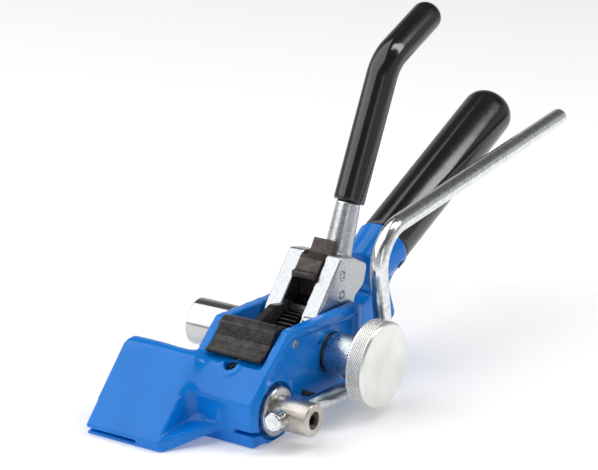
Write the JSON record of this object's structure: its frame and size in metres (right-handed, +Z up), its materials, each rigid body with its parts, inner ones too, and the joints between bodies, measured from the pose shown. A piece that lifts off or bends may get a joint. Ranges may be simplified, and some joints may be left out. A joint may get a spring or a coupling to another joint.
{
  "type": "strapping tensioner tool",
  "caption": "Hand strap tensioner: ratchet lever turns a slotted windlass, pawls drive and hold it, and a side rod turns the slotted cutter.",
  "frame": {"origin": "under the middle of the tool's bounding box, on the plane that its flat sole rests on", "axes": "+Z up, +Y back along the handles, +X along the windlass axis towards the knob"},
  "size_m": [0.1222, 0.3382, 0.1927],
  "materials": {
    "blue_enamel": "gloss",
    "black_vinyl": "gloss",
    "zinc_steel": "satin",
    "bright_steel": "polished",
    "nickel_steel": "satin",
    "dark_steel": "satin",
    "black_steel": "satin",
    "bronze": "satin",
    "spring_steel": "satin"
  },
  "bodies": {
    "body": {"main_body": "blue_enamel", "fixed_handle_bar": "zinc_steel", "fixed_handle_grip": "black_vinyl", "handle_lock_screw": "black_steel", "windlass_bush_left": "bronze", "windlass_bush_right": "bronze", "holding_pawl_pin": "zinc_steel", "holding_pawl_spring": "spring_steel", "bore_plug": "black_steel", "wall_pin": "dark_steel"},
    "windlass": {"windlass_shaft": "bright_steel", "ratchet_wheel": "dark_steel", "ratchet_key": "dark_steel", "knob": "bright_steel", "knob_sleeve": "zinc_steel", "sleeve_pin": "dark_steel", "thrust_ring": "dark_steel", "yoke_side_washers": "zinc_steel"},
    "tension_lever": {"lever_yoke": "zinc_steel", "lever_grip": "black_vinyl", "driving_pawl_pin": "zinc_steel", "pawl_stop_pin": "zinc_steel", "yoke_side_screw": "zinc_steel", "driving_pawl_spring": "spring_steel"},
    "driving_pawl": {"driving_pawl": "dark_steel"},
    "holding_pawl": {"holding_pawl": "black_steel"},
    "cutter": {"cutter_shaft": "zinc_steel", "cutter_collar": "nickel_steel", "cutter_set_screw": "black_steel", "cutter_lever_rod": "zinc_steel"}
  },
  "joints": [
    {"name": "windlass_turn", "type": "hinge", "parent": "body", "child": "windlass", "pos_m": [0.0039, -0.06185, 0.0295], "axis": [1, 0, 0], "continuous": true},
    {"name": "tension_lever_swing", "type": "hinge", "parent": "body", "child": "tension_lever", "pos_m": [0.0039, -0.06185, 0.0295], "axis": [1, 0, 0], "range_deg": [0, 45]},
    {"name": "driving_pawl_pivot", "type": "hinge", "parent": "tension_lever", "child": "driving_pawl", "pos_m": [0.0039, -0.04235, 0.0551], "axis": [1, 0, 0], "range_deg": [0, 5], "stiffness_Nm_per_rad": 0.6, "springref_deg": -8.59, "deforming": ["driving_pawl_spring"]},
    {"name": "holding_pawl_pivot", "type": "hinge", "parent": "body", "child": "holding_pawl", "pos_m": [0.0039, -0.09605, 0.0453], "axis": [1, 0, 0], "range_deg": [0, 3.5], "stiffness_Nm_per_rad": 0.6, "springref_deg": -8.59, "deforming": ["holding_pawl_spring"]},
    {"name": "cutter_lever_swing", "type": "hinge", "parent": "body", "child": "cutter", "pos_m": [0.0039, -0.11985, 0.0163], "axis": [1, 0, 0], "range_deg": [-60, 0]}
  ]
}
